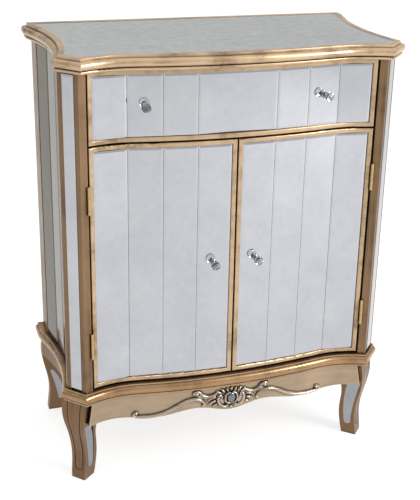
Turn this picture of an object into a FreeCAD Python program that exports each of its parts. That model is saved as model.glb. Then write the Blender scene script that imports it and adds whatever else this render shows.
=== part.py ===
import FreeCAD, Part
import math
import os

import Sketcher
from FreeCAD import Placement, Rotation, Vector

# A low mirrored cabinet with a serpentine front: one drawer over two doors, canted corner posts,
# concave sides and four cabriole legs. X is width, +Y is the back, +Z is up, and the origin is on
# the floor under the middle of the cabinet. All sizes are millimetres.

DIMENSIONS = {
    # Serpentine front: a shallow convex arc that runs into a tight concave arc at each end
    "face_y": -154.3,             # face of the doors and the drawer, on the centre line
    "mid_radius": 1250,
    "end_radius": 200,
    "vertex_x": 225,              # where the front is furthest back
    "cant_angle": 47.5,           # canted corner, measured from the front
    # Concave sides
    "waist_y": -0.1,              # where the two sides are nearest each other
    "side_radius": 500,
    "ease_radius": 60,
    "back_y": 182.9,
    # Levels
    "overall_height": 900,
    "moulding_low": 193,
    "base_nose_low": 196,
    "base_nose_high": 217,
    "moulding_high": 220,
    "door_low": 224,
    "door_high": 727.5,
    "drawer_low": 730.5,
    "drawer_high": 868.5,
    "carcass_high": 871,
    "top_nose_low": 877.5,
    "top_nose_high": 894.5,
    # Outlines of the top: how far each stands out in front, its corner, waist and back half widths
    "nose_out": 29,
    "nose_corner": 305.5,
    "nose_side": 331,
    "nose_back": 357,
    "bead_out": 25,
    "bead_corner": 304.5,
    "bead_side": 326,
    "bead_back": 352,
    "rim_out": 20.8,
    "rim_corner": 303.6,
    "rim_side": 320,
    "rim_back": 346,
    "plate_out": 10.5,
    "plate_corner": 301,
    "plate_side": 308,
    "plate_back": 331,
    "plate_back_y": 169.4,
    "plate_thick": 4,
    # Outlines of the base moulding
    "base_nose_out": 14,
    "base_nose_corner": 307.5,
    "base_nose_side": 334,
    "base_nose_back": 355,
    "base_step_out": 9,
    "base_step_corner": 306.5,
    "base_step_side": 329,
    "base_step_back": 350,
    "torus_round": 8,
    "base_round": 9.5,
    "bead_round": 2.8,
    "rim_round": 1.6,
    "floor_half": 290,
    "floor_front": -116.6,
    "floor_back": 151.4,
    "floor_thick": 16,
    # Posts, sides and boards
    "post_out": 3.5,
    "post_inner": 291.5,
    "post_corner": 306,
    "post_length": 47,            # along the canted face
    "post_back": -116.1,
    "post_mirror_wide": 26,
    "post_mirror_start": 10,      # from the front corner, along the canted face
    "post_mirror_end_gap": 5,
    "mirror_thick": 4,
    "glass_bed": 0.05,            # mastic between a mirror and its board
    "mirror_bevel": 4,
    "bevel_drop": 0.55,
    "rebate_depth": 2.5,
    "side_strip_wide": 60,
    "side_strip_gap": 1,          # above and below the side mirrors
    "side_half": 321,
    "side_panel_thick": 14,
    "stile_start": 123.9,
    "stile_inner": 304,
    "stile_back_half": 337,
    "back_panel_thick": 6,
    "back_set_in": 3,             # from the back of the carcass to the back panel
    "board_thick": 16,
    "board_half": 303,
    "dust_front": -116.1,
    "shelf_high": 486,
    "shelf_half": 298,
    "shelf_front": -93.6,
    "shelf_back_gap": 1,
    "shelf_pin_reach": 6,         # how far a pin stands under the shelf
    "shelf_pin_radius": 2.5,
    "shelf_pin_length": 24,
    "shelf_pin_front": -86.1,
    "shelf_pin_back": 93.9,
    # Fronts
    "door_gap_half": 1.2,
    "front_half": 289,
    "frame_wide": 9.5,
    "frame_out": 2.5,
    "frame_back": -17.5,
    "frame_round": 2.2,
    "panel_back": -16.5,
    "strip_gap": 0.3,
    # Drawer
    "drawer_half": 272,
    "drawer_board": 12,
    "drawer_box_front": -140.6,
    "drawer_box_back": 161.4,
    "drawer_box_low": 745,
    "drawer_box_high": 850,
    "drawer_bottom_thick": 6,
    "drawer_strip": 66.8,
    "runner_wide": 22,
    "runner_set_back": 4,
    "runner_clear": 0.5,
    "bottom_rise": 6,             # from the foot of the drawer's sides to its bottom board
    # Knobs
    "knob_radius": 9.8,
    "knob_out": 20,               # from the mirror face to the middle of the crystal
    "neck_radius": 4,
    "crystal_table": 0.5,         # radius of the flat that ends a crystal, as a share of its radius
    "crystal_reach": 0.88,        # from the middle of a crystal to that flat, as a share
    "crystal_girdle": 0.28,       # half the straight band round its widest part, as a share
    "crystal_foot": 0.55,         # radius where it sits on its base, as a share
    "foot_flare": 1.6,            # the base's foot on the mirror, as a share of the neck's radius
    "screw_reach": 0.7,           # how far the screw runs up the base, as a share of its height
    "screw_head": 2,              # the screw's head, as a share of its own radius
    "screw_head_gap": 0.4,        # from the back of the front board to the head
    "screw_head_thick": 1.6,
    "screw_head_dome": 0.8,
    "screw_crown": 1.2,           # the flat on top of the head, as a share of the screw's radius
    "foot_rim": 1,                # straight edge of the base's foot
    "screw_radius": 2,
    "hole_length": 60,            # holes for the knobs' screws go right through a front
    "hole_start": 20,             # and begin this far ahead of the mirror
    "drawer_knob_x": 179.4,
    "drawer_knob_z": 801,
    "door_knob_x": 44.6,
    "door_knob_z": 475.5,
    # Hinges
    "hinge_x": 290.25,
    "hinge_y": -154.7,
    "hinge_length": 55,
    "hinge_high": 626.5,
    "hinge_low": 322,
    "knuckle_radius": 3.2,
    "hinge_pin_radius": 1.5,
    "hinge_bore_radius": 1.55,
    "leaf_thick": 1.15,
    "leaf_start": 3.8,            # from the hinge's axis back to the plain part of a leaf
    "leaf_end": 22,
    "knuckle_gap": 0.3,
    "hinge_screw_length": 14,
    "door_screw_length": 8.5,     # it stays inside the door's narrow gilt frame
    "hinge_screw_radius": 1.4,
    "hinge_head_radius": 2.8,
    "hinge_screw_step": 0.36,     # from the middle screw to the outer ones, as a share of the length
    "hinge_screw_in": 0.62,       # how far across a leaf its screws are, as a share of leaf_end
    "pin_overhang": 1,            # how far a hinge pin stands out of its knuckles
    "finger_bury": 1,             # how far a knuckle's finger runs into its leaf
    "catch_low": 700,
    "catch_left": 12,
    "catch_right": 36,
    "catch_front": -134.8,
    "catch_back": 12,             # how far it runs under the dust board
    "strike_wide": 20,
    "strike_thick": 1,
    "strike_high": 14,
    "strike_inset": 2,            # from the edges of the catch to the strike plate
    "block_inner": 276,
    "block_deep": 36,
    "block_low": 845,
    # Legs and aprons
    "leg_x": 311.5,
    "leg_y": -114.1,
    "back_leg_x": 322,
    "back_leg_y": 175.4,
    "back_leg_half": 10.5,
    "front_inset_plane": 15.2,    # from the middle of the leg to the floor of its mirror's recess
    "back_inset_plane": 8,
    "flute_wide": 2.4,            # the U-shaped line cut in the outer face of a front leg
    "flute_deep": 1.4,
    "flute_low": 31,
    "inset_glass": 2,
    "apron_out": 3,
    "apron_in": -12,
    "apron_half": 305,
    "apron_end_high": 293,        # the front apron's slanting ends, at its top and at its foot
    "apron_end_low": 304,
    "side_apron_half": 317,
    "side_apron_front": -93.6,
    "back_apron_half": 291.5,
    "apron_blank_low": 125,
    "cut_past": 5,                # how far an outline is drawn past the wood it trims
    "cut_margin": 60,             # a generous depth for a cutting tool
    "side_apron_thick": 14,
    "side_apron_low": 146,
    "ornament_out": 7,
    "cabochon_z": 164,
    "cabochon_high": 12,
    "cabochon_wide": 9,
    "cabochon_deep": 5,
}

# A leg is a stack of rectangles: height, outer reach, inner reach and half width of each one.
LEG_SECTIONS = [
    (0, 13.0, -20.0, 16.0),
    (20, 11.0, -24.0, 17.5),
    (45, 8.5, -27.8, 18.0),
    (75, 10.0, -28.0, 18.4),
    (100, 15.0, -25.5, 19.0),
    (120, 19.5, -26.0, 21.5),
    (145, 23.0, -28.0, 27.0),
    (170, 22.0, -30.0, 29.5),
    (193, 18.0, -30.0, 29.5),
]
for index, (height, outer, inner, half) in enumerate(LEG_SECTIONS):
    DIMENSIONS[f"leg_{index}_high"] = height
    DIMENSIONS[f"leg_{index}_outer"] = outer
    DIMENSIONS[f"leg_{index}_inner"] = inner
    DIMENSIONS[f"leg_{index}_half"] = half
FLUTE_SHARE = 0.54                # where the cut line runs, as a share of the leg's half width

# The mirror let into each side of a leg, as (outward, height) in the leg's own frame: an arc down its
# outer edge, one round its foot and one up its inner edge. On a back leg it is a crescent.
INSETS = {
    "front": [
        ((16.5, 133), (3.6, 76), (-0.5, 33)),
        ((-0.5, 33), (-8.3, 24.5), (-16, 33)),
        ((-16, 33), (-19.3, 76), (-13, 133)),
    ],
    "back": [
        ((6.5, 102), (-3.5, 66), (-10.5, 31)),
        ((-10.5, 31), (-15.5, 25), (-20.5, 31)),
        ((-20.5, 31), (-17.5, 70), (2.5, 104)),
    ],
}

# Lower edge of the front apron on the right half: distance from the centre line, then height.
APRON_WAVE = [(0, 134), (66, 146.3), (150, 135.3), (240, 142), (310, 138.5)]

# Outline of the applied ornament's right half, round from the top of its middle.
ORNAMENT = [
    (0, 189), (14, 186), (24, 188), (34, 186), (42, 177), (56, 175), (68, 183), (79, 187), (86, 181),
    (92, 173), (112, 165), (132, 154), (152, 147), (172, 146), (192, 148), (203, 158), (209, 152),
    (200, 142), (190, 138), (172, 136), (151, 137), (130, 144), (108, 155), (88, 163), (72, 165),
    (60, 154), (46, 150), (34, 143), (20, 145), (10, 140), (0, 137),
]

doc = FreeCAD.newDocument("mirrored_cabinet")
sheet = doc.addObject("Spreadsheet::Sheet", "sizes")
for row, (alias, value) in enumerate(DIMENSIONS.items(), start=1):
    sheet.set(f"A{row}", alias)
    sheet.set(f"B{row}", str(value))
    sheet.setAlias(f"B{row}", alias)
doc.recompute()

START, END, CENTRE = 1, 2, 3
nodes = []


def size(alias):
    """A driving dimension, read back from the sheet."""
    return float(sheet.get(alias))


def cell(formula):
    """A formula in which each sheet alias is written plainly, ready for setExpression."""
    words = []
    for word in formula.split():
        words.append(f"sizes.{word}" if word in DIMENSIONS else word)
    return " ".join(words)


def value_of(formula):
    """The number that a formula gives, worked out from the sheet."""
    total, sign = 0.0, 1.0
    for word in formula.split():
        if word in "+-":
            sign = 1.0 if word == "+" else -1.0
        else:
            total += sign * (size(word) if word in DIMENSIONS else float(word))
    return total


def span(low, high):
    """The formula for high minus low."""
    flipped = {"+": "-", "-": "+"}
    return f"{high} - " + " ".join(flipped.get(word, word) for word in low.split())


def finish(shape_object, label):
    """Mark an object as a finished sub-part, written out under its label."""
    shape_object.Label = label
    nodes.append(shape_object)
    return shape_object


# ---------------------------------------------------------------- sketches

def new_sketch(body, name, plane, offset="0"):
    """A sketch on one of the body's own origin planes, moved along its normal."""
    sketch = body.newObject("Sketcher::SketchObject", name)
    for feature in body.Origin.OriginFeatures:
        if feature.Role == plane:
            sketch.AttachmentSupport = [(feature, "")]
    sketch.MapMode = "FlatFace"
    sketch.setExpression("AttachmentOffset.Base.z", cell(offset))
    return sketch


def bind(sketch, kind, reference, formula, negative=False):
    """Add a driving constraint whose value comes from the sheet."""
    number = value_of(formula)
    text = cell(formula)
    if negative:
        number, text = -number, f"-1 * ({text})"
    index = sketch.addConstraint(Sketcher.Constraint(kind, *reference, number))
    sketch.setExpression(f"Constraints[{index}]", text)


def join(sketch, chain):
    """Tie each piece of a closed chain (index, first end, last end, smooth) to the next one."""
    for this, following in zip(chain, chain[1:] + chain[:1]):
        kind = "Tangent" if this[3] else "Coincident"
        sketch.addConstraint(Sketcher.Constraint(kind, this[0], this[2], following[0], following[1]))


def rectangle(sketch, left, right, low, high):
    """A rectangle whose four sides are formulas."""
    x1, x2, y1, y2 = (value_of(side) for side in (left, right, low, high))
    corners = [Vector(x1, y1, 0), Vector(x2, y1, 0), Vector(x2, y2, 0), Vector(x1, y2, 0)]
    chain = []
    for a, b in zip(corners, corners[1:] + corners[:1]):
        chain.append((sketch.addGeometry(Part.LineSegment(a, b)), START, END, False))
    join(sketch, chain)
    for index in (0, 2):
        sketch.addConstraint(Sketcher.Constraint("Horizontal", chain[index][0]))
    for index in (1, 3):
        sketch.addConstraint(Sketcher.Constraint("Vertical", chain[index][0]))
    bind(sketch, "DistanceX", (-1, 1, chain[0][0], START), left)
    bind(sketch, "DistanceX", (-1, 1, chain[0][0], END), right)
    bind(sketch, "DistanceY", (-1, 1, chain[0][0], START), low)
    bind(sketch, "DistanceY", (-1, 1, chain[1][0], END), high)


def front_point(x, out):
    """The point of the serpentine at x, standing out from the door face by this much."""
    mid, end, vertex = size("mid_radius"), size("end_radius"), size("vertex_x")
    mid_y = size("face_y") + mid
    if abs(x) <= vertex * (mid + out) / (mid + end):
        return Vector(x, mid_y - math.sqrt((mid + out) ** 2 - x * x), 0)
    end_y = mid_y - math.sqrt((mid + end) ** 2 - vertex ** 2)
    return Vector(x, end_y + math.sqrt((end - out) ** 2 - (abs(x) - vertex) ** 2), 0)


def serpentine(sketch, left, right, out):
    """Arcs of the serpentine from left to right; returns their chain."""
    stand, x1, x2 = value_of(out), value_of(left), value_of(right)
    mid, end, vertex = size("mid_radius"), size("end_radius"), size("vertex_x")
    mid_y = size("face_y") + mid
    end_y = mid_y - math.sqrt((mid + end) ** 2 - vertex ** 2)
    join_x = vertex * (mid + stand) / (mid + end)
    stops = [x1] + [x for x in (-join_x, join_x) if x1 < x < x2] + [x2]
    chain = []
    for a, b in zip(stops, stops[1:]):
        first, last = front_point(a, stand), front_point(b, stand)
        middle = (a + b) / 2
        if abs(middle) < join_x:
            centre, radius = Vector(0, mid_y, 0), mid + stand
            turn = [math.atan2(p.y - centre.y, p.x - centre.x) for p in (first, last)]
            ends = (START, END)
        else:
            centre = Vector(math.copysign(vertex, middle), end_y, 0)
            radius = end - stand
            turn = [math.atan2(p.y - centre.y, p.x - centre.x) for p in (last, first)]
            ends = (END, START)
        circle = Part.Circle(centre, Vector(0, 0, 1), radius)
        index = sketch.addGeometry(Part.ArcOfCircle(circle, *turn))
        chain.append((index, *ends, True))
        if centre.x == 0:
            sketch.addConstraint(Sketcher.Constraint("PointOnObject", index, CENTRE, -2))
            bind(sketch, "DistanceY", (-1, 1, index, CENTRE), "face_y + mid_radius")
            bind(sketch, "Radius", (index,), f"mid_radius + {out}")
        else:
            bind(sketch, "DistanceX", (-1, 1, index, CENTRE), "vertex_x", centre.x < 0)
            bind(sketch, "Radius", (index,), span(out, "end_radius"))
            if len(stops) == 2:
                place = sketch.addConstraint(Sketcher.Constraint("DistanceY", -1, 1, index, CENTRE, end_y))
                root = "sqrt((sizes.mid_radius + sizes.end_radius) ^ 2 - sizes.vertex_x ^ 2)"
                sketch.setExpression(f"Constraints[{place}]", f"sizes.face_y + sizes.mid_radius - {root}")
    for this, following in zip(chain, chain[1:]):
        sketch.addConstraint(Sketcher.Constraint("Tangent", this[0], this[2], following[0], following[1]))
    bind(sketch, "DistanceX", (-1, 1, chain[0][0], chain[0][1]), left)
    bind(sketch, "DistanceX", (-1, 1, chain[-1][0], chain[-1][2]), right)
    return chain


def add_line(sketch, a, b, direction=None):
    """A straight edge from a to b, held level or upright when a direction is named."""
    index = sketch.addGeometry(Part.LineSegment(a, b))
    if direction:
        sketch.addConstraint(Sketcher.Constraint(direction, index))
    return (index, START, END, False)


def end_of(sketch, link, which):
    """Where a piece of a chain starts (1) or finishes (2)."""
    return sketch.getPoint(link[0], link[which])


# ---------------------------------------------------------------- bodies

def new_body(name):
    return doc.addObject("PartDesign::Body", name)


def pad(body, sketch, length, name):
    feature = body.newObject("PartDesign::Pad", name)
    feature.Profile = sketch
    feature.setExpression("Length", cell(length))
    sketch.Visibility = False
    return feature


def round_edges(body, base, radius, name, wanted):
    """Fillet the edges of the base feature that the test picks."""
    doc.recompute()
    edges = [f"Edge{i}" for i, edge in enumerate(base.Shape.Edges, start=1) if wanted(edge)]
    feature = body.newObject("PartDesign::Fillet", name)
    feature.Base = (base, edges)
    feature.setExpression("Radius", cell(radius))
    return feature


def curved_slab(name, left, right, out, inner, low, high):
    """A board between two offsets of the serpentine, cut square at its ends."""
    body = new_body(name)
    sketch = new_sketch(body, name + "_plan", "XY_Plane", low)
    front = serpentine(sketch, left, right, out)
    back = serpentine(sketch, left, right, inner)
    left_side = add_line(sketch, end_of(sketch, front[0], 1), end_of(sketch, back[0], 1))
    right_side = add_line(sketch, end_of(sketch, front[-1], 2), end_of(sketch, back[-1], 2))
    for side, first, last in ((left_side, front[0], back[0]), (right_side, front[-1], back[-1])):
        which = 1 if side is left_side else 2
        sketch.addConstraint(Sketcher.Constraint("Coincident", side[0], START, first[0], first[which]))
        sketch.addConstraint(Sketcher.Constraint("Coincident", side[0], END, last[0], last[which]))
    return body, pad(body, sketch, span(low, high), name + "_pad")


def side_ease(side, back):
    """Where the concave side meets its easing curve: the turn there, in radians."""
    return math.acos(1 - (back - side) / (size("side_radius") + size("ease_radius")))


def plan_sketch(body, name, outline, level, back="back_y"):
    """The closed plan of a moulding: serpentine, canted corners, concave sides and straight back."""
    sketch = new_sketch(body, name, "XY_Plane", level)
    corner, side, rear = size(f"{outline}_corner"), size(f"{outline}_side"), size(f"{outline}_back")
    waist, radius, ease = size("waist_y"), size("side_radius"), size("ease_radius")
    cant = math.radians(size("cant_angle"))
    turn = side_ease(side, rear)
    front = serpentine(sketch, f"0 - {outline}_corner", f"{outline}_corner", f"{outline}_out")
    a = front_point(corner, size(f"{outline}_out"))
    # The canted line meets the side's circle: solve for the distance along the line.
    centre = Vector(side + radius, waist, 0)
    along = Vector(math.cos(cant), math.sin(cant), 0)
    gap = centre - a
    reach = gap.dot(along)
    travel = reach - math.sqrt(reach ** 2 - (gap.dot(gap) - radius ** 2))
    b = a + along * travel
    ease_end = Vector(rear, waist + (radius + ease) * math.sin(turn), 0)
    back_corner = Vector(rear, size(back), 0)
    halves = []
    for sign in (1, -1):
        def flip(point):
            return Vector(sign * point.x, point.y, 0)
        cant_line = add_line(sketch, flip(a), flip(b))
        lower = math.atan2(b.y - waist, sign * (b.x - centre.x))
        upper = math.atan2(math.sin(turn), -sign * math.cos(turn))
        angles = (upper, lower + 2 * math.pi) if sign > 0 else (lower, upper)
        circle = Part.Circle(flip(centre), Vector(0, 0, 1), radius)
        side_arc = sketch.addGeometry(Part.ArcOfCircle(circle, *angles))
        side_ends = (END, START) if sign > 0 else (START, END)
        ease_circle = Part.Circle(Vector(sign * (rear - ease), ease_end.y, 0), Vector(0, 0, 1), ease)
        ease_angles = (-turn, 0) if sign > 0 else (math.pi, math.pi + turn)
        ease_arc = sketch.addGeometry(Part.ArcOfCircle(ease_circle, *ease_angles))
        ease_ends = (START, END) if sign > 0 else (END, START)
        edge = add_line(sketch, flip(ease_end), flip(back_corner), "Vertical")
        links = [cant_line, (side_arc, *side_ends), (ease_arc, *ease_ends), edge]
        sketch.addConstraint(Sketcher.Constraint("Coincident", front[-1 if sign > 0 else 0][0],
                                                 front[-1 if sign > 0 else 0][2 if sign > 0 else 1],
                                                 cant_line[0], START))
        sketch.addConstraint(Sketcher.Constraint("Coincident", cant_line[0], END, side_arc, side_ends[0]))
        sketch.addConstraint(Sketcher.Constraint("Tangent", side_arc, side_ends[1], ease_arc, ease_ends[0]))
        sketch.addConstraint(Sketcher.Constraint("Tangent", ease_arc, ease_ends[1], edge[0], START))
        bind(sketch, "Radius", (side_arc,), "side_radius")
        bind(sketch, "Radius", (ease_arc,), "ease_radius")
        bind(sketch, "DistanceX", (-1, 1, side_arc, CENTRE), f"{outline}_side + side_radius", sign < 0)
        bind(sketch, "DistanceY", (-1, 1, side_arc, CENTRE), "waist_y")
        bind(sketch, "DistanceX", (-1, 1, edge[0], END), f"{outline}_back", sign < 0)
        slope = cant if sign > 0 else math.pi - cant
        place = sketch.addConstraint(Sketcher.Constraint("Angle", cant_line[0], slope))
        wanted = "sizes.cant_angle * 1 deg" if sign > 0 else "180 deg - sizes.cant_angle * 1 deg"
        sketch.setExpression(f"Constraints[{place}]", wanted)
        halves.append(links)
    rear_line = add_line(sketch, back_corner, Vector(-rear, size(back), 0), "Horizontal")
    for half, which in ((halves[0], START), (halves[1], END)):
        sketch.addConstraint(Sketcher.Constraint("Coincident", half[-1][0], END, rear_line[0], which))
    bind(sketch, "DistanceY", (-1, 1, rear_line[0], START), back)
    return sketch


def middle_of(edge):
    """The point half way along an edge."""
    return edge.valueAt((edge.FirstParameter + edge.LastParameter) / 2)


def moulding_layer(body, name, outline, low, high, radius=None, both=False):
    """One step of a moulding: a pad of its plan with its outer edges rounded."""
    sketch = plan_sketch(body, name + "_plan", outline, low)
    feature = pad(body, sketch, span(low, high), name + "_pad")
    if radius is None:
        return feature
    doc.recompute()
    levels = [size(high)] + ([size(low)] if both else [])
    plan = [middle_of(edge) for edge in sketch.Shape.Edges]
    back = size("back_y")

    def outer(edge):
        spot = middle_of(edge)
        level = any(abs(spot.z - z) < 0.01 for z in levels)
        own = any(math.hypot(spot.x - other.x, spot.y - other.y) < 0.01 for other in plan)
        return level and own and spot.y < back - 0.01

    return round_edges(body, feature, radius, name + "_round", outer)


def pocket_box(body, name, left, right, low, high, plane="XZ_Plane", offset="0"):
    """Cut a rectangle right through a body, both ways from an origin plane."""
    sketch = new_sketch(body, name + "_plan", plane, offset)
    rectangle(sketch, left, right, low, high)
    feature = body.newObject("PartDesign::Pocket", name + "_pocket")
    feature.Profile = sketch
    feature.Type = "ThroughAll"
    feature.Midplane = True
    sketch.Visibility = False
    return feature


def block(name, left, right, front, back, low, high):
    """A box whose six faces are formulas."""
    box = doc.addObject("Part::Box", name)
    for axis, first, last, length in (("x", left, right, "Length"), ("y", front, back, "Width"),
                                      ("z", low, high, "Height")):
        box.setExpression(f"Placement.Base.{axis}", cell(first))
        box.setExpression(length, cell(span(first, last)))
    return box


def rod(name, radius, length, base, direction):
    """A cylinder from a point along a direction."""
    cylinder = doc.addObject("Part::Cylinder", name)
    cylinder.setExpression("Radius", cell(radius))
    cylinder.setExpression("Height", cell(length))
    cylinder.Placement = Placement(base, Rotation(Vector(0, 0, 1), direction))
    return cylinder


def cut(name, base, tool):
    result = doc.addObject("Part::Cut", name)
    result.Base = base
    result.Tool = tool
    return result


def group(name, members):
    """Several separate solids kept in one node."""
    if len(members) == 1:
        return members[0]
    result = doc.addObject("Part::Compound", name)
    result.Links = members
    return result


def fuse(name, members):
    result = doc.addObject("Part::MultiFuse", name)
    result.Shapes = members
    result.Refine = True
    return result


def mirrored(name, source):
    """The same piece on the other side of the cabinet."""
    result = doc.addObject("Part::Mirroring", name)
    result.Source = source
    result.Base = Vector(0, 0, 0)
    result.Normal = Vector(1, 0, 0)
    return result


def bevelled_plate(name, a, b, low, high, gap="strip_gap"):
    """A flat mirror with bevelled edges standing between two plan points, its face towards -Y or out."""
    chord = b - a
    wide = chord.Length - 2 * size(gap)
    tall = high - low - 2 * size(gap)
    wedge = doc.addObject("Part::Wedge", name + "_face")
    wedge.Ymin = 0
    wedge.setExpression("Ymax", cell("bevel_drop"))
    for axis, across in (("X", wide), ("Z", tall)):
        wedge.setExpression(f"{axis}min", cell("mirror_bevel"))
        wedge.setExpression(f"{axis}max", cell(f"{across} - mirror_bevel"))
        setattr(wedge, f"{axis}2min", 0)
        setattr(wedge, f"{axis}2max", across)
    slab = doc.addObject("Part::Box", name + "_slab")
    slab.Length = wide
    slab.Height = tall
    slab.setExpression("Width", cell("mirror_thick - bevel_drop"))
    slab.setExpression("Placement.Base.y", cell("bevel_drop"))
    plate = fuse(name, [wedge, slab])
    turn = math.degrees(math.atan2(chord.y, chord.x))
    start = a + chord.normalize() * size(gap)
    plate.Placement = Placement(Vector(start.x, start.y, low + size(gap)), Rotation(Vector(0, 0, 1), turn))
    return plate


# ---------------------------------------------------------------- top

def build_top():
    board = new_body("top_board_body")
    moulding_layer(board, "top_nose", "nose", "top_nose_low", "top_nose_high", "torus_round", both=True)
    moulding_layer(board, "top_bead", "bead", "carcass_high", "top_nose_low", "bead_round", both=True)
    moulding_layer(board, "top_rim", "rim", "top_nose_high", "overall_height", "rim_round")
    plan = plan_sketch(board, "top_recess_plan", "plate", "overall_height", "plate_back_y")
    recess = board.newObject("PartDesign::Pocket", "top_recess")
    recess.Profile = plan
    recess.setExpression("Length", cell("plate_thick"))
    finish(board, "top_board")
    plate = new_body("top_mirror_body")
    sketch = plan_sketch(plate, "top_mirror_plan", "plate", "overall_height - plate_thick", "plate_back_y")
    pad(plate, sketch, "plate_thick - 0.5", "top_mirror_pad")
    finish(plate, "top_mirror")


# ---------------------------------------------------------------- base

def build_base():
    ring = new_body("base_moulding_body")
    moulding_layer(ring, "base_nose", "base_nose", "base_nose_low", "base_nose_high", "base_round", both=True)
    moulding_layer(ring, "base_foot", "base_step", "moulding_low", "base_nose_low")
    moulding_layer(ring, "base_step", "base_step", "base_nose_high", "moulding_high")
    pocket_box(ring, "base_opening", "0 - floor_half", "floor_half", "floor_front", "floor_back", "XY_Plane")
    finish(ring, "base_moulding")
    finish(block("cabinet_floor_box", "0 - floor_half", "floor_half", "floor_front", "floor_back",
                 "moulding_high - floor_thick", "moulding_high"), "cabinet_floor")


# ---------------------------------------------------------------- posts and sides

def cant_direction():
    cant = math.radians(size("cant_angle"))
    return Vector(math.cos(cant), math.sin(cant), 0)


def side_point(y):
    """The point of the right side's concave curve at this y."""
    radius = size("side_radius")
    reach = math.sqrt(radius ** 2 - (y - size("waist_y")) ** 2)
    return Vector(size("side_half") + radius - reach, y, 0)


def prism(name, points, low, high):
    """An upright prism on a plan of straight edges."""
    body = new_body(name + "_body")
    sketch = new_sketch(body, name + "_plan", "XY_Plane", low)
    for index, (a, b) in enumerate(zip(points, points[1:] + points[:1])):
        sketch.addGeometry(Part.LineSegment(a, b))
        if index:
            sketch.addConstraint(Sketcher.Constraint("Coincident", index - 1, END, index, START))
    sketch.addConstraint(Sketcher.Constraint("Coincident", len(points) - 1, END, 0, START))
    for index, point in enumerate(points):
        sketch.addConstraint(Sketcher.Constraint("DistanceX", -1, 1, index, START, point.x))
        sketch.addConstraint(Sketcher.Constraint("DistanceY", -1, 1, index, START, point.y))
    pad(body, sketch, span(low, high), name + "_pad")
    return body


def build_posts():
    inner = front_point(size("post_inner"), size("post_out"))
    corner = front_point(size("post_corner"), size("post_out"))
    along = cant_direction()
    end = corner + along * size("post_length")
    inward = Vector(-along.y, along.x, 0)
    start = corner + along * size("post_mirror_start")
    finish_point = start + along * size("post_mirror_wide")
    depth = inward * size("rebate_depth")
    plan = [
        inner,
        corner,
        start,
        start + depth,
        finish_point + depth,
        finish_point,
        end,
        Vector(end.x, size("post_back"), 0),
        Vector(size("post_inner"), size("post_back"), 0),
    ]
    post = prism("post_front_right", plan, "moulding_high", "carcass_high")
    seat = inward * (size("rebate_depth") - size("mirror_thick"))
    low = size("moulding_high") + size("post_mirror_end_gap")
    high = size("carcass_high") - size("post_mirror_end_gap")
    glass = bevelled_plate("post_mirror_right_glass", start + seat, finish_point + seat, low, high)
    hinge_room = []
    for level in ("hinge_low", "hinge_high"):
        foot = Vector(size("hinge_x"), size("hinge_y"), size(level) - size("hinge_length") / 2)
        hinge_room.append(rod(f"{level}_room", "knuckle_radius + knuckle_gap", "hinge_length", foot,
                              Vector(0, 0, 1)))
    post = cut("post_front_right_recessed", post, group("hinge_rooms", hinge_room))
    finish(post, "post_front_right")
    finish(mirrored("post_front_left_copy", post), "post_front_left")
    finish(group("post_mirror_pair", [glass, mirrored("post_mirror_left_glass", glass)]), "post_mirrors")
    return post


def meeting(first, second):
    """Where two plan lines cross; each is a point and a direction."""
    (p, d), (q, e) = first, second
    across = d.x * e.y - d.y * e.x
    travel = ((q.x - p.x) * e.y - (q.y - p.y) * e.x) / across
    return Vector(p.x + d.x * travel, p.y + d.y * travel, 0)


def behind(points, depth, ends):
    """The row of flats this far behind a row of plan points, ended square by the direction given."""
    lines = []
    for a, b in zip(points, points[1:]):
        along = Vector(b - a).normalize()
        lines.append((a + Vector(-along.y, along.x, 0) * depth, along))
    lines = [(points[0], ends)] + lines + [(points[-1], ends)]
    return [meeting(a, b) for a, b in zip(lines, lines[1:])]


def side_stops():
    first, last, wide = size("post_back"), size("stile_start"), size("side_strip_wide")
    count = round((last - first) / wide)
    return [first + index * (last - first) / count for index in range(count + 1)]


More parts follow.
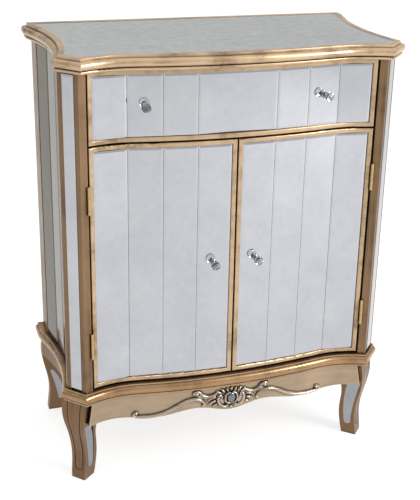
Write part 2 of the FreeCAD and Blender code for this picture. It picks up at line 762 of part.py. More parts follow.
def build_sides(post):
    stops = side_stops()
    edge = [side_point(y) for y in stops]
    level = Vector(1, 0, 0)
    seats = behind(edge, size("mirror_thick") + size("glass_bed"), level)
    backs = behind(edge, size("mirror_thick") + size("side_panel_thick"), level)[::-1]
    panel = prism("side_panel_right", seats + backs, "moulding_high", "carcass_high")
    pins = []
    for y in (size("shelf_pin_front"), size("shelf_pin_back")):
        under_shelf = size("shelf_high") - size("board_thick") - size("shelf_pin_radius")
        place = Vector(size("shelf_half") - size("shelf_pin_reach"), y, under_shelf)
        pins.append(rod(f"shelf_pin_{len(pins)}", "shelf_pin_radius", "shelf_pin_length", place,
                        Vector(1, 0, 0)))
    both = group("shelf_pins_right", pins)
    drilled = cut("side_panel_right_drilled", panel, both)
    finish(drilled, "side_panel_right")
    finish(mirrored("side_panel_left_copy", drilled), "side_panel_left")
    finish(group("shelf_pins_all", [both, mirrored("shelf_pins_left", both)]), "shelf_pins")
    gap = size("side_strip_gap")
    low, high = size("moulding_high") + gap, size("carcass_high") - gap
    strips = []
    for index, (a, b) in enumerate(zip(stops, stops[1:]), start=1):
        strips.append(bevelled_plate(f"side_mirror_{index}", side_point(a), side_point(b), low, high))
    start = size("stile_start")
    stile_plan = [
        side_point(start),
        Vector(size("stile_back_half"), start + size("stile_back_half") - side_point(start).x, 0),
        Vector(size("stile_back_half"), size("back_y"), 0),
        Vector(size("stile_inner"), size("back_y"), 0),
        Vector(size("stile_inner"), start, 0),
    ]
    stile = prism("stile_rear_right", stile_plan, "moulding_high", "carcass_high")
    finish(stile, "stile_rear_right")
    finish(mirrored("stile_rear_left_copy", stile), "stile_rear_left")
    strips[0] = cut("side_mirror_first", strips[0], post)
    strips[-1] = cut("side_mirror_last", strips[-1], stile)
    right = group("side_mirrors_right_set", strips)
    finish(right, "side_mirrors_right")
    finish(mirrored("side_mirrors_left_set", right), "side_mirrors_left")
    finish(block("back_panel_box", "0 - stile_inner", "stile_inner",
                 "back_y - back_set_in - back_panel_thick", "back_y - back_set_in", "moulding_high",
                 "carcass_high"), "back_panel")


def build_boards():
    finish(block("dust_board_box", "0 - board_half", "board_half", "dust_front",
                 "back_y - back_set_in - back_panel_thick", "door_high - board_thick", "door_high"),
           "dust_board")
    finish(block("shelf_box", "0 - shelf_half", "shelf_half", "shelf_front",
                 "back_y - back_set_in - back_panel_thick - shelf_back_gap", "shelf_high - board_thick",
                 "shelf_high"), "shelf")
    right = block("runner_right", "drawer_half - runner_wide", "drawer_half", "dust_front + runner_set_back",
                  "drawer_box_back", "door_high", "drawer_box_low - runner_clear")
    finish(group("drawer_runners_pair", [right, mirrored("runner_left", right)]), "drawer_runners")


# ---------------------------------------------------------------- legs and aprons

def leg_body(name, half=None, shift="0"):
    """A cabriole leg in its own frame: X outward, Y across, standing on the floor."""
    body = new_body(name + "_body")
    sketches = []
    for index in range(len(LEG_SECTIONS)):
        side = half or f"leg_{index}_half"
        sketch = new_sketch(body, f"{name}_section_{index}", "XY_Plane", f"leg_{index}_high")
        rectangle(sketch, f"leg_{index}_inner - {shift}", f"leg_{index}_outer - {shift}", f"0 - {side}", side)
        sketches.append(sketch)
    loft = body.newObject("PartDesign::AdditiveLoft", name + "_loft")
    loft.Profile = sketches[0]
    loft.Sections = sketches[1:]
    return body


def inset_sketch(body, name, which, offset):
    """The curved outline of a leg's mirror, on a plane beside the middle of the leg."""
    sketch = new_sketch(body, name, "XZ_Plane", offset)
    arcs = INSETS[which]
    for arc in arcs:
        sketch.addGeometry(Part.Arc(*[Vector(x, z, 0) for x, z in arc]))
    sketch.addGeometry(Part.LineSegment(Vector(*arcs[-1][-1], 0), Vector(*arcs[0][0], 0)))
    return sketch


def leg_with_insets(which, half=None):
    """A leg with a recess in each side, and the two mirrors that fill them."""
    name = f"leg_{which}"
    body = leg_body(name, half)
    plane = f"{which}_inset_plane"
    glasses = []
    for side in (1, -1):
        offset = plane if side > 0 else f"0 - {plane}"
        doc.recompute()
        before = body.Shape.Volume
        recess = body.newObject("PartDesign::Pocket", f"{name}_recess_{side + 1}")
        recess.Profile = inset_sketch(body, f"{name}_inset_{side + 1}", which, offset)
        recess.Type = "ThroughAll"
        recess.Reversed = side > 0
        doc.recompute()
        assert body.Shape.Volume < before
        glass = new_body(f"{name}_glass_{side + 1}")
        sketch = inset_sketch(glass, f"{name}_glass_plan_{side + 1}", which, offset)
        plate = pad(glass, sketch, "inset_glass", f"{name}_glass_pad_{side + 1}")
        plate.Reversed = side < 0
        glasses.append(glass)
    return body, glasses


def flute_edge(grow):
    """One edge of the cut line on the +Y half of a leg, from its foot to above the leg, as (across, up)."""
    low = size("flute_low")
    rows = [(size(f"leg_{index}_high"), size(f"leg_{index}_half")) for index in range(len(LEG_SECTIONS))]
    under, over = [row for row in rows if row[0] < low][-1], [row for row in rows if row[0] > low][0]
    half = under[1] + (over[1] - under[1]) * (low - under[0]) / (over[0] - under[0])
    edge = [(low, half)] + [row for row in rows if row[0] > low]
    return [Vector(FLUTE_SHARE * half + grow, height, 0) for height, half in edge]


def fluted(leg):
    """Cut a shallow U-shaped line into a leg's outer face."""
    tool = new_body("flute_body")
    sketch = new_sketch(tool, "flute_line", "YZ_Plane")
    grow = size("flute_wide") / 2
    for side in (1, -1):
        ends = []
        for edge in (flute_edge(grow), flute_edge(-grow)):
            points = [Vector(side * point.x, point.y, 0) for point in edge]
            curve = Part.BSplineCurve()
            curve.interpolate(points)
            sketch.addGeometry(curve)
            ends.append(points[-1])
        sketch.addGeometry(Part.LineSegment(*ends))
    for edge in (flute_edge(grow), flute_edge(-grow)):
        foot = edge[0]
        sketch.addGeometry(Part.Arc(foot, Vector(0, foot.y - foot.x, 0), Vector(-foot.x, foot.y, 0)))
    line = pad(tool, sketch, "leg_8_outer - leg_8_inner + cut_margin", "flute_pad")
    line.Midplane = True
    core = leg_body("flute_core", shift="flute_deep")
    skin = cut("flute_skin", tool, core)
    skin.Placement = leg.Placement
    return cut("leg_front_fluted", leg, skin)


def build_legs():
    """Front legs stand on the diagonal of the canted corners, back legs face the sides."""
    turn = Rotation(Vector(0, 0, 1), size("cant_angle") - 90)
    places = {
        "front": Placement(Vector(size("leg_x"), size("leg_y"), 0), turn),
        "back": Placement(Vector(size("back_leg_x"), size("back_leg_y"), 0), Rotation()),
    }
    glass_sets = []
    legs = {}
    for which, half in (("front", None), ("back", "back_leg_half")):
        leg, glasses = leg_with_insets(which, half)
        for piece in [leg] + glasses:
            piece.Placement = places[which]
        if which == "front":
            leg = fluted(leg)
        finish(leg, f"leg_{which}_right")
        legs[which] = leg
        finish(mirrored(f"leg_{which}_left_copy", leg), f"leg_{which}_left")
        glass_sets += glasses
    right = group("leg_mirrors_right", glass_sets)
    finish(group("leg_mirrors_all", [right, mirrored("leg_mirrors_left", right)]), "leg_mirrors")
    return legs


def arc_board(name, half, thick, front, back, low, high):
    """An upright board that follows the concave right side."""
    body = new_body(name + "_body")
    sketch = new_sketch(body, name + "_plan", "XY_Plane", low)
    radius, waist = size("side_radius"), size("waist_y")
    centre = Vector(size(half) + radius, waist, 0)
    ends = (value_of(front), value_of(back))
    links = []
    for grow in (0, size(thick)):
        reach = radius + grow
        angles = [math.pi - math.asin((y - waist) / reach) for y in reversed(ends)]
        circle = Part.Circle(centre, Vector(0, 0, 1), reach)
        arc = sketch.addGeometry(Part.ArcOfCircle(circle, *angles))
        bind(sketch, "DistanceX", (-1, 1, arc, CENTRE), f"{half} + side_radius")
        bind(sketch, "DistanceY", (-1, 1, arc, CENTRE), "waist_y")
        bind(sketch, "Radius", (arc,), "side_radius" + (f" + {thick}" if grow else ""))
        bind(sketch, "DistanceY", (-1, 1, arc, START), back)
        bind(sketch, "DistanceY", (-1, 1, arc, END), front)
        links.append(arc)
    for which in (START, END):
        a, b = (sketch.getPoint(arc, which) for arc in links)
        line = sketch.addGeometry(Part.LineSegment(a, b))
        for arc, end in zip(links, (START, END)):
            sketch.addConstraint(Sketcher.Constraint("Coincident", line, end, arc, which))
    pad(body, sketch, span(low, high), name + "_pad")
    return body


def spline_region(body, name, points, offset="0"):
    """A closed outline on the XZ plane: one smooth curve through the points."""
    sketch = new_sketch(body, name, "XZ_Plane", offset)
    curve = Part.BSplineCurve()
    curve.interpolate(Points=[Vector(x, z, 0) for x, z in points], PeriodicFlag=True)
    sketch.addGeometry(curve)
    return sketch


def build_aprons(legs):
    blank, _ = curved_slab("apron_blank", "0 - apron_half", "apron_half", "apron_out", "apron_in",
                           "apron_blank_low", "moulding_low")
    wave = new_sketch(blank, "apron_wave", "XZ_Plane")
    points = [(-x, z) for x, z in reversed(APRON_WAVE[1:])] + APRON_WAVE
    curve = Part.BSplineCurve()
    curve.interpolate([Vector(x, z, 0) for x, z in points])
    wave.addGeometry(curve)
    low = size("apron_blank_low") - size("cut_past")
    end_x, end_z = APRON_WAVE[-1]
    corners = [
        Vector(end_x, end_z, 0),
        Vector(end_x, low, 0),
        Vector(-end_x, low, 0),
        Vector(-end_x, end_z, 0),
    ]
    for a, b in zip(corners, corners[1:]):
        wave.addGeometry(Part.LineSegment(a, b))
    shaped = blank.newObject("PartDesign::Pocket", "apron_wave_cut")
    shaped.Profile = wave
    shaped.Type = "ThroughAll"
    shaped.Midplane = True
    ends = new_sketch(blank, "apron_ends", "XZ_Plane")
    top, foot = size("moulding_low"), size("apron_blank_low")
    beyond = size("apron_half") + size("cut_past")
    for side in (1, -1):
        outline = [
            (size("apron_end_high"), top),
            (size("apron_end_low"), foot),
            (beyond, foot),
            (beyond, top),
        ]
        spots = [Vector(side * x, z, 0) for x, z in outline]
        for a, b in zip(spots, spots[1:] + spots[:1]):
            ends.addGeometry(Part.LineSegment(a, b))
    slanted = blank.newObject("PartDesign::Pocket", "apron_end_cut")
    slanted.Profile = ends
    slanted.Type = "ThroughAll"
    slanted.Midplane = True
    front_legs = group("front_legs", [legs["front"], mirrored("front_leg_copy", legs["front"])])
    finish(cut("apron_front_cut", blank, front_legs), "apron_front")
    side = arc_board("apron_side", "side_apron_half", "side_apron_thick", "side_apron_front",
                     "back_leg_y - back_leg_half", "side_apron_low", "moulding_low")
    side_legs = group("side_legs", [legs["front"], legs["back"]])
    right = cut("apron_side_cut", side, side_legs)
    finish(right, "apron_right")
    finish(mirrored("apron_left_copy", right), "apron_left")
    finish(block("apron_back_box", "0 - back_apron_half", "back_apron_half", "back_y - board_thick",
                 "back_y - back_set_in", "side_apron_low", "moulding_low"), "apron_back")


def build_ornament():
    skin, _ = curved_slab("ornament_skin", "0 - apron_half", "apron_half", "ornament_out", "apron_out",
                          "apron_blank_low", "moulding_low")
    outline = ORNAMENT + [(-x, z) for x, z in reversed(ORNAMENT[1:-1])]
    shape = new_body("ornament_shape")
    sketch = spline_region(shape, "ornament_outline", outline, "board_thick")
    pad(shape, sketch, "0 - face_y", "ornament_pad")
    relief = doc.addObject("Part::Common", "ornament_relief")
    relief.Base = skin
    relief.Tool = shape
    finish(relief, "ornament")
    stone = doc.addObject("Part::Ellipsoid", "cabochon_egg")
    stone.setExpression("Radius1", cell("cabochon_high"))
    stone.setExpression("Radius2", cell("cabochon_wide"))
    stone.setExpression("Radius3", cell("cabochon_deep"))
    face = size("face_y") - size("ornament_out")
    stone.Placement.Base = Vector(0, face, size("cabochon_z"))
    hidden = block("cabochon_hidden_half", "0 - cabochon_high", "cabochon_high",
                   "face_y - ornament_out - glass_bed", "face_y",
                   "cabochon_z - cabochon_high - cabochon_deep", "cabochon_z + cabochon_high + cabochon_deep")
    finish(cut("cabochon_half", stone, hidden), "ornament_cabochon")


# ---------------------------------------------------------------- fronts

def gilt_frame(name, left, right, low, high):
    """The gilt edging of a front: a curved ring with softened front edges."""
    body, slab = curved_slab(name, left, right, "frame_out", "frame_back", low, high)
    ring = pocket_box(body, name + "_opening", f"{left} + frame_wide", f"{right} - frame_wide",
                      f"{low} + frame_wide", f"{high} - frame_wide")
    out = size("frame_out")

    def on_front(edge):
        spot = middle_of(edge)
        return abs(spot.y - front_point(spot.x, out).y) < 0.05

    round_edges(body, ring, "frame_round", name + "_round", on_front)
    return body


def facing(name, points, low, high):
    """The board behind a row of mirrors: a flat for each mirror, and a parallel back."""
    square = Vector(0, 1, 0)
    seats = behind(points, size("mirror_thick") + size("glass_bed"), square)
    backs = behind(points, -size("panel_back"), square)
    return prism(name, seats + backs[::-1], low, high), backs


def front_room(name, backs, low, high):
    """All the space in front of the back of a facing."""
    ahead = size("face_y") - size("cut_margin")
    front = [Vector(backs[0].x, ahead, 0), Vector(backs[-1].x, ahead, 0)]
    return prism(name, front + backs[::-1], low, high)


def revolved(name, points):
    """A turned piece about its own Y axis, from a closed half outline."""
    body = new_body(name + "_body")
    sketch = new_sketch(body, name + "_outline", "XY_Plane")
    for index, (a, b) in enumerate(zip(points, points[1:] + points[:1])):
        sketch.addGeometry(Part.LineSegment(Vector(*a, 0), Vector(*b, 0)))
        if index:
            sketch.addConstraint(Sketcher.Constraint("Coincident", index - 1, END, index, START))
    feature = body.newObject("PartDesign::Revolution", name + "_turned")
    feature.Profile = sketch
    feature.ReferenceAxis = (sketch, ["V_Axis"])
    feature.Angle = 360
    return body


# Neck of a knob's base: radius as a share of the neck's, and height as a share of the base's.
NECK_PROFILE = [(1, 0.82), (0.8, 0.45), (1, 0.25)]


def knob_parts(name, place):
    """Crystal, metal base and screw of a knob; its axis is -Y, its foot on the mirror's face."""
    ball, out = size("knob_radius"), size("knob_out")
    neck, shank = size("neck_radius"), size("screw_radius")
    reach, girdle = size("crystal_reach") * ball, size("crystal_girdle") * ball
    table = size("crystal_table") * ball
    seat = out - reach
    crystal = revolved(name + "_crystal", [
        (0, -out - reach),
        (table, -out - reach),
        (ball, -out - girdle),
        (ball, -out + girdle),
        (size("crystal_foot") * ball, -seat),
        (0, -seat),
    ])
    depth = size("screw_reach") * seat
    foot = size("foot_flare") * neck
    waist = [(share * neck, -along * seat) for share, along in NECK_PROFILE]
    base = revolved(name + "_base", [(0, -seat), (table, -seat)] + waist + [
        (foot, -size("foot_rim")),
        (foot, 0),
        (shank, 0),
        (shank, -depth),
        (0, -depth),
    ])
    back = -size("panel_back") + size("screw_head_gap")
    head = size("screw_head") * shank
    rim = back + size("screw_head_thick")
    screw = revolved(name + "_screw", [
        (0, -depth),
        (shank, -depth),
        (shank, back),
        (head, back),
        (head, rim),
        (size("screw_crown") * shank, rim + size("screw_head_dome")),
        (0, rim + size("screw_head_dome")),
    ])
    hole = rod(name + "_hole", "screw_radius", "hole_length", Vector(0, 0, 0), Vector(0, 1, 0))
    inward = Rotation(Vector(0, 0, 1), Vector(0, 1, 0))
    hole.Placement = place.multiply(Placement(Vector(0, -size("hole_start"), 0), inward))
    for piece in (crystal, base, screw):
        piece.Placement = place
    return crystal, base, screw, hole


def place_on(a, b, x, z):
    """A knob's place on the flat mirror that runs from a to b."""
    chord = b - a
    spot = a + chord * ((x - a.x) / chord.x)
    turn = math.degrees(math.atan2(chord.y, chord.x))
    return Placement(Vector(spot.x, spot.y, z), Rotation(Vector(0, 0, 1), turn))


def mirror_row(name, points, low, high, frame):
    """Bevelled mirrors side by side, one between each pair of points, the end ones fitted to the frame."""
    plates = []
    for index, (a, b) in enumerate(zip(points, points[1:]), start=1):
        plates.append(bevelled_plate(f"{name}_{index}", a, b, low, high))
    for index in (0, -1):
        plates[index] = cut(plates[index].Name + "_fitted", plates[index], frame)
    return plates


def build_drawer():
    frame = gilt_frame("drawer_frame_ring", "0 - front_half", "front_half", "drawer_low", "drawer_high")
    finish(frame, "drawer_frame")
    edge = size("front_half") - size("frame_wide")
    wide = size("drawer_strip")
    half = [edge - index * wide for index in range(4)]
    stops = [-x for x in half] + half[::-1]
    low, high = size("drawer_low") + size("frame_wide"), size("drawer_high") - size("frame_wide")
    points = [front_point(x, 0) for x in stops]
    board, backs = facing("drawer_front_board", points, "drawer_low + frame_wide", "drawer_high - frame_wide")
    plates = mirror_row("drawer_mirror", points, low, high, frame)
    place = place_on(points[5], points[6], size("drawer_knob_x"), size("drawer_knob_z"))
    crystal, base, screw, hole = knob_parts("drawer_knob", place)
    holes = group("drawer_knob_holes", [hole, mirrored("drawer_knob_hole_left", hole)])
    finish(cut("drawer_front_drilled", board, holes), "drawer_front_board")
    plates[5] = cut("drawer_mirror_6_drilled", plates[5], hole)
    plates[1] = mirrored("drawer_mirror_2_drilled", plates[5])
    finish(group("drawer_mirror_set", plates), "drawer_mirrors")
    knob_pieces = {"drawer_knobs": crystal, "drawer_knob_bases": base, "drawer_knob_screws": screw}
    for label, piece in knob_pieces.items():
        finish(group(label + "_pair", [piece, mirrored(label + "_left", piece)]), label)
    room = front_room("drawer_front_room", backs, "drawer_low", "drawer_high")
    inner = "drawer_half - drawer_board"
    side = cut("drawer_side_cut", block("drawer_side_box", inner, "drawer_half", "drawer_box_front",
                                        "drawer_box_back", "drawer_box_low", "drawer_box_high"), room)
    finish(side, "drawer_side_right")
    finish(mirrored("drawer_side_left_copy", side), "drawer_side_left")
    finish(block("drawer_back_box", "0 - drawer_half + drawer_board", inner,
                 "drawer_box_back - drawer_board", "drawer_box_back", "drawer_box_low", "drawer_box_high"),
           "drawer_back")
    finish(cut("drawer_bottom_cut", block(
        "drawer_bottom_box", "0 - drawer_half + drawer_board", inner, "drawer_box_front",
        "drawer_box_back - drawer_board", "drawer_box_low + bottom_rise",
        "drawer_box_low + bottom_rise + drawer_bottom_thick"), room), "drawer_bottom")


def hinge_parts(name, z):
    """One butt hinge of the right door: fixed leaf, moving leaf, pin and the leaves' screws."""
    length, gap = size("hinge_length"), size("knuckle_gap")
    each = (length - 4 * gap) / 5
    axis = Vector(size("hinge_x"), size("hinge_y"), 0)
    thick = size("leaf_thick")
    low = z - length / 2
    leaves, screws = [], []
    for kind, numbers, left in (("fixed", (0, 2, 4), size("post_inner") - thick),
                                ("moving", (1, 3), size("front_half"))):
        plain = doc.addObject("Part::Box", f"{name}_{kind}_leaf")
        plain.Length = thick
        plain.Height = length
        plain.Width = size("leaf_end") - size("leaf_start")
        plain.Placement.Base = Vector(left, axis.y + size("leaf_start"), low)
        pieces = [plain]
        for number in numbers:
            bottom = low + number * (each + gap)
            barrel = rod(f"{name}_knuckle_{number}", "knuckle_radius", str(each),
                         Vector(axis.x, axis.y, bottom), Vector(0, 0, 1))
            finger = doc.addObject("Part::Box", f"{name}_finger_{number}")
            finger.Length = thick
            finger.Width = size("leaf_start") + size("finger_bury")
            finger.Height = each
            finger.Placement.Base = Vector(left, axis.y, bottom)
            pieces += [barrel, finger]
        leaf = fuse(f"{name}_{kind}_solid", pieces)
        bore = rod(f"{name}_{kind}_bore", "hinge_pin_radius" if kind == "fixed" else "hinge_bore_radius",
                   "hinge_length + 4 * pin_overhang",
                   Vector(axis.x, axis.y, low - 2 * size("pin_overhang")), Vector(0, 0, 1))
        bored = cut(f"{name}_{kind}_bored", leaf, bore)
        outward = 1 if kind == "fixed" else -1
        face = left if outward > 0 else left + thick
        shank_length = "hinge_screw_length" if outward > 0 else "door_screw_length"
        own = []
        for step in (-size("hinge_screw_step"), 0, size("hinge_screw_step")):
            place = Vector(face, axis.y + size("hinge_screw_in") * size("leaf_end"), z + step * length)
            tag = f"{name}_{kind}_{len(own)}"
            shank = rod(tag + "_shank", "hinge_screw_radius", shank_length, place, Vector(outward, 0, 0))
            head = doc.addObject("Part::Cone", tag + "_head")
            head.Radius1 = size("hinge_head_radius")
            head.Radius2 = size("hinge_screw_radius")
            head.Height = thick
            head.Placement = shank.Placement
            own.append(fuse(tag, [shank, head]))
        own = group(f"{name}_{kind}_screws", own)
        leaves.append(cut(f"{name}_{kind}_drilled", bored, own))
        screws.append(own)
    pin = rod(f"{name}_pin", "hinge_pin_radius", "hinge_length + 2 * pin_overhang",
              Vector(axis.x, axis.y, low - size("pin_overhang")), Vector(0, 0, 1))
    return leaves[0], leaves[1], pin, screws[0], screws[1]


def build_doors():
    left, right = "door_gap_half", "front_half"
    frame = gilt_frame("door_ring", left, right, "door_low", "door_high")
    first = size(left) + size("frame_wide")
    last = size(right) - size("frame_wide")
    stops = [first + index * (last - first) / 4 for index in range(5)]
    low, high = size("door_low") + size("frame_wide"), size("door_high") - size("frame_wide")
    points = [front_point(x, 0) for x in stops]
    board, backs = facing("door_panel_board", points, "door_low + frame_wide", "door_high - frame_wide")
    plates = mirror_row("door_mirror", points, low, high, frame)
    place = place_on(points[0], points[1], size("door_knob_x"), size("door_knob_z"))
    crystal, base, screw, hole = knob_parts("door_knob", place)
    plates[0] = cut("door_mirror_1_drilled", plates[0], hole)
    hinges = [hinge_parts("upper_hinge", size("hinge_high")), hinge_parts("lower_hinge", size("hinge_low"))]
    fixed, moving, pins, fixed_screws, moving_screws = (list(kind) for kind in zip(*hinges))
    strike = doc.addObject("Part::Box", "strike_box")
    strike.setExpression("Length", cell("strike_wide"))
    strike.setExpression("Width", cell("strike_thick"))
    strike.setExpression("Height", cell("strike_high"))
    inset = size("strike_inset")
    strike.Placement = place_on(backs[0], backs[1], size("catch_left") + inset, size("catch_low") - inset)
    pieces = {
        "frame": frame,
        "panel": cut("door_panel_drilled", board, hole),
        "mirrors": group("door_mirror_set", plates),
        "knob": crystal,
        "knob_base": base,
        "hinge_leaves": group("moving_leaves", moving),
        "screws": group("door_screws", [screw] + moving_screws),
        "strike_plate": strike,
    }
    for label, piece in pieces.items():
        finish(piece, f"door_right_{label}")
        finish(mirrored(f"door_left_{label}_copy", piece), f"door_left_{label}")
    catch = block("catch_right_box", "catch_left", "catch_right", "catch_front", "dust_front + catch_back",
                  "catch_low", "door_high - board_thick")
    finish(group("catch_pair", [catch, mirrored("catch_left_copy", catch)]), "door_catches")
    for members, label in ((fixed, "hinge_leaves_fixed"), (pins, "hinge_pins"),
                           (fixed_screws, "hinge_screws_fixed")):
        own = group(label + "_right", members)
        finish(group(label + "_all", [own, mirrored(label + "_left", own)]), label)


def build_blocks():
    """Corner blocks glued under the top, behind the posts and in front of the back panel."""
    blocks = []
    by_the_back = "back_y - back_set_in - back_panel_thick - block_deep"
    for name, front in (("front", "dust_front"), ("back", by_the_back)):
        blocks.append(block(f"corner_block_{name}", "block_inner", "board_half", front,
                            f"{front} + block_deep", "block_low", "carcass_high"))
    right = group("corner_blocks_right", blocks)
    finish(group("corner_blocks_all", [right, mirrored("corner_blocks_left", right)]), "corner_blocks")


def check_and_write():
    """Stop on any failed object, then write each sub-part to its own file."""
    doc.recompute()
    for item in doc.Objects:
        if "Invalid" in item.State or "Error" in item.State:
            raise RuntimeError(f"{item.Name} failed: {item.State}")
    os.makedirs("parts", exist_ok=True)
    for node in nodes:
        if node.Shape.isNull() or not node.Shape.isValid():
            raise RuntimeError(f"{node.Label} has no valid shape")
        node.Shape.exportStep(f"parts/{node.Label}.step")


build_top()
build_base()
build_sides(build_posts())
build_boards()
cabinet_legs = build_legs()
build_aprons(cabinet_legs)
build_ornament()
build_drawer()
build_doors()
build_blocks()
check_and_write()
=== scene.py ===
import math

import bmesh
import bpy
from mathutils import Matrix, Vector
from mathutils.bvhtree import BVHTree


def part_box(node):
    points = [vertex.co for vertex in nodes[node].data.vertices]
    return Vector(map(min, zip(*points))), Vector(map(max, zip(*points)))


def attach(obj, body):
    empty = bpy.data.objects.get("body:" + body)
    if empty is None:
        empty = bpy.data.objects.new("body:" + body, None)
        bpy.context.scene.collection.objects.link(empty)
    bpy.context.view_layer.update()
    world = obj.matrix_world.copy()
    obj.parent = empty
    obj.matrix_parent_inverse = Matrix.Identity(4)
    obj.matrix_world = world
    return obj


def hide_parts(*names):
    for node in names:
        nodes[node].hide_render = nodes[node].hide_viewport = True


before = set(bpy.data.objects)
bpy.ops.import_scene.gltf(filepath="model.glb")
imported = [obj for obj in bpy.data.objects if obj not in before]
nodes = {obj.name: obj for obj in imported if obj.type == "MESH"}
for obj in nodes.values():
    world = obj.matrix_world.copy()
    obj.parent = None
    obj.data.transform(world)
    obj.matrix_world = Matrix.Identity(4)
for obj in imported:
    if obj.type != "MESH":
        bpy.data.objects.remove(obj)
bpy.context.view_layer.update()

# The looks of a low mirrored cabinet: gilt mouldings, bevelled silvered glass, cut crystal knobs and
# a carved scroll on the apron. Lengths are metres, in the CAD model's frame.

MM = 0.001


# ---------------------------------------------------------------- camera and lights

CAMERA_PLACE = (-0.6364, -1.9458, 1.2953)
HEADING = math.radians(-19.22)
LOOK_DOWN = math.radians(21.21)
ROLL = math.radians(1.64)


def add_camera():
    """A camera in front of the left corner, a little above the top and looking down."""
    data = bpy.data.cameras.new("camera")
    data.lens = 74.5
    data.shift_x = -0.040
    data.shift_y = -0.057
    data.clip_end = 60
    camera = bpy.data.objects.new("camera", data)
    turn = Matrix.Rotation(HEADING, 4, "Z")
    turn = turn @ Matrix.Rotation(math.pi / 2 - LOOK_DOWN, 4, "X")
    turn = turn @ Matrix.Rotation(ROLL, 4, "Z")
    camera.matrix_world = Matrix.Translation(CAMERA_PLACE) @ turn
    bpy.context.scene.collection.objects.link(camera)
    bpy.context.scene.camera = camera


def add_light(name, place, target, wide, tall, power):
    """A soft rectangular light that faces a point."""
    data = bpy.data.lights.new(name, "AREA")
    data.shape = "RECTANGLE"
    data.size = wide
    data.size_y = tall
    data.energy = power
    light = bpy.data.objects.new(name, data)
    aim = Vector(target) - Vector(place)
    light.matrix_world = Matrix.Translation(place) @ aim.to_track_quat("-Z", "Y").to_matrix().to_4x4()
    bpy.context.scene.collection.objects.link(light)
    return light


# ---------------------------------------------------------------- node helpers

# Sockets of the Mix node when it blends colours.
MIX_FACTOR, MIX_FIRST, MIX_SECOND, MIX_RESULT = 0, 6, 7, 2


class Shader:
    """A material being built: short calls for its nodes and links."""

    def __init__(self, name):
        self.material = bpy.data.materials.new(name)
        self.material.use_nodes = True
        self.tree = self.material.node_tree
        self.bsdf = self.tree.nodes["Principled BSDF"]
        self.place = self.tree.nodes.new("ShaderNodeTexCoord").outputs["Object"]

    def set(self, **values):
        """Set sockets of the surface shader by name."""
        for name, value in values.items():
            self.bsdf.inputs[name.replace("_", " ")].default_value = value

    def link(self, output, socket):
        self.tree.links.new(output, socket)

    def stretched(self, scale):
        """Object coordinates, scaled along each axis."""
        mapping = self.tree.nodes.new("ShaderNodeMapping")
        mapping.inputs["Scale"].default_value = scale
        self.link(self.place, mapping.inputs["Vector"])
        return mapping.outputs["Vector"]

    def noise(self, scale, detail=3.0, rough=0.55, stretch=(1, 1, 1)):
        node = self.tree.nodes.new("ShaderNodeTexNoise")
        node.inputs["Scale"].default_value = scale
        node.inputs["Detail"].default_value = detail
        node.inputs["Roughness"].default_value = rough
        self.link(self.stretched(stretch), node.inputs["Vector"])
        return node.outputs["Fac"]

    def ramp(self, factor, stops):
        """Colours along a factor; stops are (position, colour)."""
        node = self.tree.nodes.new("ShaderNodeValToRGB")
        ramp = node.color_ramp
        while len(ramp.elements) < len(stops):
            ramp.elements.new(0.5)
        for element, (position, colour) in zip(ramp.elements, stops):
            element.position = position
            element.color = (*colour, 1)
        self.link(factor, node.inputs["Fac"])
        return node.outputs["Color"]

    def mix(self, factor, first, second):
        """A blend of two colours or values; each can be a number, a colour or another node's output."""
        node = self.tree.nodes.new("ShaderNodeMix")
        node.data_type = "RGBA"
        for value, place in ((factor, MIX_FACTOR), (first, MIX_FIRST), (second, MIX_SECOND)):
            socket = node.inputs[place]
            if isinstance(value, bpy.types.NodeSocket):
                self.link(value, socket)
            elif isinstance(value, (int, float)):
                socket.default_value = value
            else:
                socket.default_value = (*value, 1)
        return node.outputs[MIX_RESULT]

    def hollows(self, distance):
        """Near 0 in grooves and corners, 1 on open faces."""
        node = self.tree.nodes.new("ShaderNodeAmbientOcclusion")
        node.samples = 8
        node.only_local = False
        node.inputs["Distance"].default_value = distance
        return node.outputs["AO"]

    def edges(self, distance):
        """Near 0 on sharp outer edges, 1 on open faces."""
        node = self.tree.nodes.new("ShaderNodeAmbientOcclusion")
        node.samples = 8
        node.inside = True
        node.only_local = True
        node.inputs["Distance"].default_value = distance
        return node.outputs["AO"]

    def bump(self, height, strength, distance):
        node = self.tree.nodes.new("ShaderNodeBump")
        node.inputs["Strength"].default_value = strength
        node.inputs["Distance"].default_value = distance
        self.link(height, node.inputs["Height"])
        self.link(node.outputs["Normal"], self.bsdf.inputs["Normal"])


# ---------------------------------------------------------------- materials

BLACK = (0, 0, 0)
WHITE = (1, 1, 1)

# How finely the paint is brushed along each axis: long strokes on one axis, or stippled.
BRUSHING = {"x": (3, 30, 150), "z": (150, 150, 3), "both": (45, 45, 45)}


def grey(tone):
    return (tone, tone, tone)


def scaled(colour, times, more=0.0):
    """A colour made this many times as bright, and no channel above 1."""
    return tuple(min(1, channel * times + more) for channel in colour)


